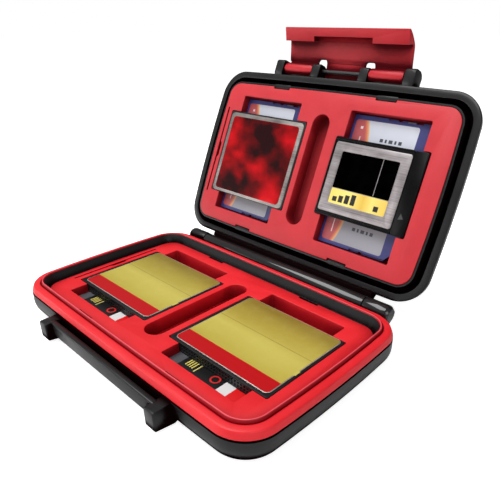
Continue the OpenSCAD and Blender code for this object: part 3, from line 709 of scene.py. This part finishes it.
def between(tree, value, low, high):
    """1 where value lies between low and high, else 0."""
    over = add(tree, "Math", {0: value, 1: low}, operation="GREATER_THAN")
    under = add(tree, "Math", {0: value, 1: high}, operation="LESS_THAN")
    return add(tree, "Math", {0: over.outputs[0], 1: under.outputs[0]}, operation="MULTIPLY").outputs[0]


def either(tree, one, other):
    """1 where one mask or the other is 1."""
    return add(tree, "Math", {0: one, 1: other}, operation="MAXIMUM").outputs[0]


def within(tree, value, spans):
    """1 where value lies in one of the (low, wide) spans, else 0."""
    mask = None
    for low, wide in spans:
        span = between(tree, value, low, low + wide)
        mask = span if mask is None else either(tree, mask, span)
    return mask


def times(tree, one, other):
    return add(tree, "Math", {0: one, 1: other}, operation="MULTIPLY").outputs[0]


def over(tree, mask, below, above):
    """The colour above, laid on the colour below where the mask is 1."""
    return add(tree, "MixRGB", {"Fac": mask, "Color1": below, "Color2": above}).outputs[0]


# gold foil with a red band along the front, a faint fold line, a slow diagonal painted shine, and darker towards the
# back
foil_gold, tree, shader = new_material("foil_gold")
across, along = printed_at(tree)
slanted = add(tree, "Mapping", {
    "Vector": add(tree, "TexCoord").outputs["UV"], "Rotation": (0, 0, 0.5), "Scale": (0.7, 2.6, 1.0)}).outputs[0]
# painted shine: slow diagonal noise that lightens and darkens the gold
painted_sheen = add(tree, "TexNoise", {"Vector": slanted, "Scale": 1.6, "Detail": 1, "Roughness": 0.3}).outputs["Fac"]
painted_sheen_part = add(tree, "MapRange", {"Value": painted_sheen, "To Min": -0.16, "To Max": 0.16}).outputs[0]
depth = add(tree, "Math", {0: along, 1: painted_sheen_part}, operation="ADD").outputs[0]
gold = ramp(tree, depth, (0.1, srgb(182, 164, 62)), (0.45, srgb(200, 188, 90)), (0.72, srgb(174, 157, 64)),
            (1.0, srgb(138, 118, 44)))
grain = use(tree, moulded_grain, Pits=4200, Depth=0.05, Tone=420)
speck = add(tree, "MapRange", {"Value": grain["Tone"], "From Min": 0.45, "From Max": 0.75, "To Max": 0.06}).outputs[0]
gold = over(tree, speck, gold, srgb(236, 226, 150))
gold = over(tree, times(tree, between(tree, along, 0.566, 0.574), 0.55), gold, srgb(120, 104, 50))
face = over(tree, between(tree, along, -1, 0.166), gold, srgb(188, 8, 16))
tree.links.new(face, shader.inputs["Base Color"])
tree.links.new(grain["Normal"], shader.inputs["Normal"])
shader.inputs["Metallic"].default_value = 0.1
shader.inputs["Roughness"].default_value = 0.36
shader.inputs["Specular IOR Level"].default_value = 0.3

# printed art: soft dark clouds on red, of no particular picture
foil_art, tree, shader = new_material("foil_art")
print_place = add(tree, "TexCoord").outputs["UV"]
clouds = add(tree, "TexNoise", {
    "Vector": print_place, "Scale": 1.9, "Detail": 2, "Roughness": 0.45, "Distortion": 0.35})
folds = add(tree, "TexNoise", {"Vector": print_place, "Scale": 6.5, "Detail": 2, "Roughness": 0.45, "Distortion": 0.2})
mottle = add(tree, "MapRange", {"Value": folds.outputs["Fac"], "To Min": -0.10, "To Max": 0.10}).outputs[0]
tones = add(tree, "Math", {0: clouds.outputs["Fac"], 1: mottle}, operation="ADD").outputs[0]
art = ramp(tree, tones, (0.37, srgb(34, 3, 5)), (0.45, srgb(92, 3, 7)), (0.54, srgb(150, 6, 13)),
           (0.64, srgb(196, 13, 23)), (0.78, srgb(218, 42, 46)))
tree.links.new(art, shader.inputs["Base Color"])
grain = use(tree, moulded_grain, Pits=4200, Depth=0.04, Tone=420)
tree.links.new(grain["Normal"], shader.inputs["Normal"])
shader.inputs["Roughness"].default_value = 0.45
shader.inputs["Specular IOR Level"].default_value = 0.08

socket_black = moulded("socket_black", srgb(22, 22, 24), srgb(34, 35, 37), srgb(60, 62, 64), 0.45,
                       pits=4200, depth=0.1, wear_and_highlight=0.2)


def large_card(name, body, place, foil, foil_slot, steel, cover_size, cover_middle, foil_size, foil_middle):
    """A large card in its recess: body, a cover on each face, the foil on the upper one, socket."""
    place = place @ Matrix.Translation((0, 0, -CARD_SEAT))
    shell = rounded_block(name + "_body", (0, 0), CARD_WIDE, CARD_LONG, 1, 0, CARD_THICK)
    tools = [rounded_block("cover_seat", cover_middle, cover_size[0] + 0.1, cover_size[1] + 0.1, 1.9, z, z + 1.3)
             for z in (-1, CARD_THICK - 0.3)]
    tools += [block("guide", (x - 0.7, -19.2, CARD_THICK / 2 - deep), (x + 0.7, 6.8, CARD_THICK / 2 + deep))
              for x, deep in ((-CARD_WIDE / 2, 0.6), (CARD_WIDE / 2, 0.45))]
    tools.append(block("socket_room", (-19, -19.2, 0.55), (19, -15.2, CARD_THICK - 0.55)))
    cut(shell, *tools)
    soften(shell, 0.12, 2)
    fit(shell, place, card_black, body, "card_black", name + "_frame")
    covers = [rounded_block(name + "_cover", cover_middle, *cover_size, 1.85, z, z + 0.26)
              for z in (0.02, CARD_THICK - 0.28)]
    for cover in covers:
        soften(cover, 0.08, 2)
    cover = joined(*covers)
    cover.name = name + "_covers"
    fit(cover, place, steel, body, "card_steel", name + "_cover")
    label = rounded_block(name + "_foil", (0, 0), *foil_size, 1.45, CARD_THICK - 0.025, CARD_THICK + 0.005)
    print_map(label, *foil_size)
    label.data.transform(Matrix.Translation((*foil_middle, 0)))
    fit(label, place, foil, body, foil_slot)
    dress(name + "_connector", socket_black)


for side, x in (("left", -RECESS_X), ("right", RECESS_X)):
    place = IN_BASE @ Matrix.Translation((x, 0, 0))
    large_card(f"base_{side}_card", f"base_{side}_card", place, foil_gold, "card_gold", cover_steel,
               (40.7, 35.2), (0, 0.7), (40.1, 34.6), (0, 0.7))
    # the foil's tongue, which folds over the rim of the cover
    tongue = rounded_block(f"base_{side}_card_tongue", (20.15, -4.3), 1.0, 2.6, 0.3,
                           CARD_THICK - 0.03, CARD_THICK + 0.02)
    print_map(tongue, 200, 200)
    fit(tongue, place @ Matrix.Translation((0, 0, -CARD_SEAT)), foil_gold, f"base_{side}_card", "card_gold")
large_card("lid_left_card", "lid_left_card", IN_LID @ Matrix.Translation((-RECESS_X, 0, 0)), foil_art, "card_art",
           dull_steel, (41.6, 35.6), (-0.3, -0.2), (38.0, 32.8), (-0.4, -0.4))

# Express card: a black case with a brushed steel plate let into its face. The plate frames
# a black panel with a yellow band, and the card ends in a plain plastic grip with an arrow.
EXPRESS_THICK, WINDOW_X = 3.8, -2.3
IN_EXPRESS = IN_LID @ Matrix.Translation((RECESS_X, 0, -CARD_SEAT))
case_black = moulded("case_black", srgb(8, 8, 9), srgb(12, 12, 13), srgb(50, 50, 54), 0.3,
                     pits=3200, depth=0.05, wear_and_highlight=0.3, gloss=0.1)
plate_steel = brushed("plate_steel", srgb(122, 116, 117), srgb(168, 161, 162), 0.4, 0.75)
panel_black, tree, shader = new_material("panel_black")
grain = use(tree, moulded_grain, Pits=3600, Depth=0.02, Tone=200)
ink = ramp(tree, grain["Tone"], (0.3, srgb(0, 0, 0)), (0.7, srgb(3, 3, 3)))
tree.links.new(ink, shader.inputs["Base Color"])
tree.links.new(grain["Normal"], shader.inputs["Normal"])
shader.inputs["Roughness"].default_value = 0.5
shader.inputs["Specular IOR Level"].default_value = 0.0
arrow_grey = moulded("arrow_grey", srgb(58, 58, 60), srgb(68, 68, 70), srgb(90, 90, 92), 0.5, gloss=0.3)
band_yellow, tree, shader = new_material("band_yellow")
across, along = printed_at(tree)
yellow = ramp(tree, across, (0.0, srgb(238, 214, 104)), (0.35, srgb(246, 226, 130)), (0.6, srgb(222, 186, 70)),
              (0.75, srgb(240, 218, 116)), (1.0, srgb(226, 194, 84)))
grain = use(tree, moulded_grain, Pits=4200, Depth=0.03, Tone=420)
BAR_WIDE, BAR_FOOT = 0.08, 0.16
bars = None
for left, top in ((0.06, 0.48), (0.17, 0.60), (0.28, 0.72), (0.39, 0.84), (0.80, 0.5)):
    bar_face = times(tree, between(tree, across, left, left + BAR_WIDE), between(tree, along, BAR_FOOT, top))
    bars = bar_face if bars is None else either(tree, bars, bar_face)
tree.links.new(over(tree, bars, yellow, srgb(18, 17, 15)), shader.inputs["Base Color"])
tree.links.new(grain["Normal"], shader.inputs["Normal"])
shader.inputs["Roughness"].default_value = 0.36

case = rounded_block("express_case", (-2.7, 0), 32.6, 29.8, 0.6, 0, EXPRESS_THICK)
tools = [rounded_block("plate_seat", (-2.25, 0), 31.56, 26.56, 1, EXPRESS_THICK - 0.35, 5)]
tools += [block("groove", (-20, y - 0.12, EXPRESS_THICK - 0.3), (14, y + 0.12, 5)) for y in (-14, 14)]
cut(case, *tools)
soften(case, 0.15, 2)
fit(case, IN_EXPRESS, case_black, "lid_right_card", "card_black", "lid_right_card_case")
plate = rounded_block("express_plate", (-2.25, 0), 31.5, 26.5, 1, EXPRESS_THICK - 0.33, EXPRESS_THICK + 0.05)
cut(plate, rounded_block("window", (WINDOW_X, 0.1), 24.2, 19.8, 0.9, EXPRESS_THICK - 0.07, 5))
soften(plate, 0.09, 2)
fit(plate, IN_EXPRESS, plate_steel, "lid_right_card", "card_steel", "lid_right_card_plate")
panel = rounded_block("express_panel", (WINDOW_X, 3.02), 24.0, 13.8, 0.5, EXPRESS_THICK - 0.09, EXPRESS_THICK - 0.04)
fit(panel, IN_EXPRESS, panel_black, "lid_right_card", "card_black")
line = block("express_panel_line", (3.15, -3.7, EXPRESS_THICK - 0.05), (3.4, 9.8, EXPRESS_THICK - 0.025))
soften(line, 0.01, 1)
fit(line, IN_EXPRESS, plate_steel, "lid_right_card", "card_steel")
band = rounded_block("express_band", (0, 0), 24.0, 5.7, 0.4, EXPRESS_THICK - 0.09, EXPRESS_THICK - 0.03)
print_map(band, 24.0, 5.7)
band.data.transform(Matrix.Translation((WINDOW_X, -6.9, 0)))
fit(band, IN_EXPRESS, band_yellow, "lid_right_card", "card_gold")
grip = rounded_block("express_grip", (16.32, 0), 5.32, 29.8, 0.9, 0, EXPRESS_THICK - 0.1)
soften(grip, 0.2, 2)
fit(grip, IN_EXPRESS, case_black, "lid_right_card", "card_black", "lid_right_card_end")
arrow = new_mesh("express_arrow")
draw([(x, y, EXPRESS_THICK - 0.11) for x, y in ((15.0, -9.2), (16.9, -8.7), (15.6, -6.9))])
bpy.ops.mesh.edge_face_add()
bpy.ops.mesh.extrude_region_move(TRANSFORM_OT_translate={"value": (0, 0, 0.04)})
outward(arrow)
fit(arrow, IN_EXPRESS, arrow_grey, "lid_right_card", "card_black")

# Small cards: flat plastic bodies with thin rails along their edges, a write lock and a printed
# label. Those of the lid are blue with a grey lock and a pale label, those of the base dark grey
# with a white lock and a dark label.
SMALL_Y, SMALL_THICK = 12.9, 2.1
LID_LABEL, BASE_LABEL = (26.0, 20.9, (-1.9, -0.15)), (27.2, 21.6, (1.8, -0.3))
SMALL_SEAT = POCKET_DEEP - 0.05
card_blue = moulded("card_blue", srgb(44, 46, 104), srgb(54, 57, 122), srgb(100, 104, 168), 0.4,
                    pits=3400, depth=0.1, wear_and_highlight=0.3)
card_grey = moulded("card_grey", srgb(66, 67, 72), srgb(84, 85, 90), srgb(130, 130, 134), 0.42,
                    pits=3400, depth=0.1, wear_and_highlight=0.3)
lock_white = moulded("lock_white", srgb(200, 200, 198), srgb(214, 214, 212), srgb(228, 228, 226), 0.45, wear_and_highlight=0.1)
lock_grey = moulded("lock_grey", srgb(96, 98, 112), srgb(112, 114, 128), srgb(150, 152, 164), 0.45, wear_and_highlight=0.1)


def pale_label(name, paper_dark, paper_light, marks_at):
    """A pale label with a red field at its left that fades through orange, and a row of dark marks."""
    material, tree, shader = new_material(name)
    across, along = printed_at(tree)
    middle = add(tree, "Math", {0: along, 1: 0.5}, operation="SUBTRACT").outputs[0]
    curve = times(tree, times(tree, middle, middle), 0.36)
    reach = add(tree, "Math", {0: across, 1: curve}, operation="ADD").outputs[0]
    paper = ramp(tree, reach, (0.0, srgb(158, 54, 56)), (0.22, srgb(170, 56, 54)), (0.255, srgb(206, 108, 58)),
                 (0.285, srgb(216, 160, 92)), (0.30, paper_dark), (1.0, paper_light))
    row = within(tree, across, ((0.46, 0.05), (0.54, 0.03), (0.60, 0.06), (0.69, 0.03), (0.75, 0.05)))
    marks = times(tree, row, between(tree, along, marks_at, marks_at + 0.06))
    paper = over(tree, marks, paper, srgb(40, 40, 44))
    pale_line = times(tree, between(tree, across, 0.125, 0.14), between(tree, along, 0.16, 0.7))
    pale_dot = times(tree, between(tree, across, 0.10, 0.14), between(tree, along, 0.84, 0.885))
    paper = over(tree, either(tree, pale_line, pale_dot), paper, srgb(206, 190, 190))
    grain = use(tree, moulded_grain, Pits=4200, Depth=0.04, Tone=300)
    paper = over(tree, times(tree, grain["Tone"], 0.16), paper, srgb(150, 152, 170))
    tree.links.new(paper, shader.inputs["Base Color"])
    tree.links.new(grain["Normal"], shader.inputs["Normal"])
    shader.inputs["Roughness"].default_value = 0.4
    return material


label_pale = pale_label("label_pale", srgb(192, 196, 206), srgb(204, 208, 218), 0.66)
# the lid's lower labels get a darker copy of the pale label: painted shade cast by the cards above them
label_pale_shaded = pale_label("label_pale_shaded", srgb(138, 138, 146), srgb(152, 153, 160), 0.28)

# dark label with four gold strokes, a red ring, and a white and a red field at its right
label_dark, tree, shader = new_material("label_dark")
across, along = printed_at(tree)
fields = ramp(tree, across, (0.0, srgb(12, 12, 13)), (0.638, srgb(222, 220, 220)), (0.789, srgb(222, 18, 22)))
fields.node.color_ramp.interpolation = "CONSTANT"
strokes = within(tree, across, [(left, 0.018) for left in (0.064, 0.100, 0.137, 0.173)])
gold_marks = times(tree, strokes, between(tree, along, 0.13, 0.27))
gold_line = times(tree, between(tree, across, 0.232, 0.246), between(tree, along, 0.1, 0.3))
dx = times(tree, add(tree, "Math", {0: across, 1: 0.519}, operation="SUBTRACT").outputs[0], BASE_LABEL[0])
dy = times(tree, add(tree, "Math", {0: along, 1: 0.198}, operation="SUBTRACT").outputs[0], BASE_LABEL[1])
squares = add(tree, "Math", {0: times(tree, dx, dx), 1: times(tree, dy, dy)}, operation="ADD").outputs[0]
far = add(tree, "Math", {0: squares}, operation="SQRT").outputs[0]
face = over(tree, gold_marks, fields, srgb(214, 196, 96))
face = over(tree, gold_line, face, srgb(220, 206, 120))
face = over(tree, between(tree, far, 1.2, 1.75), face, srgb(206, 34, 34))
tree.links.new(face, shader.inputs["Base Color"])
grain = use(tree, moulded_grain, Pits=4200, Depth=0.04, Tone=300)
tree.links.new(grain["Normal"], shader.inputs["Normal"])
shader.inputs["Roughness"].default_value = 0.34

smalls = [("base_left_small", IN_BASE, -1, -1), ("base_right_small", IN_BASE, 1, -1),
          ("lid_upper_left_small", IN_LID, -1, 1), ("lid_upper_right_small", IN_LID, 1, 1),
          ("lid_lower_left_small", IN_LID, -1, -1), ("lid_lower_right_small", IN_LID, 1, -1)]
for name, place, side, end in smalls:
    in_lid = name.startswith("lid")
    dress(name + "_card", card_blue if in_lid else card_grey)
    dress(name + "_lock", lock_grey if in_lid else lock_white)
    wide, long, middle = LID_LABEL if in_lid else BASE_LABEL
    label = rounded_block(name + "_label", (0, 0), wide, long, 1.0, SMALL_THICK - 0.03, SMALL_THICK + 0.03)
    print_map(label, wide, long)
    label.data.transform(Matrix.Translation((*middle, 0)))
    at = place @ Matrix.Translation((side * RECESS_X, end * SMALL_Y, -SMALL_SEAT))
    # the lower labels of the lid take the darker copy: painted shade
    paper = label_dark if not in_lid else label_pale if end > 0 else label_pale_shaded
    fit(label, at, paper, name, "card_blue" if in_lid else "card_grey")
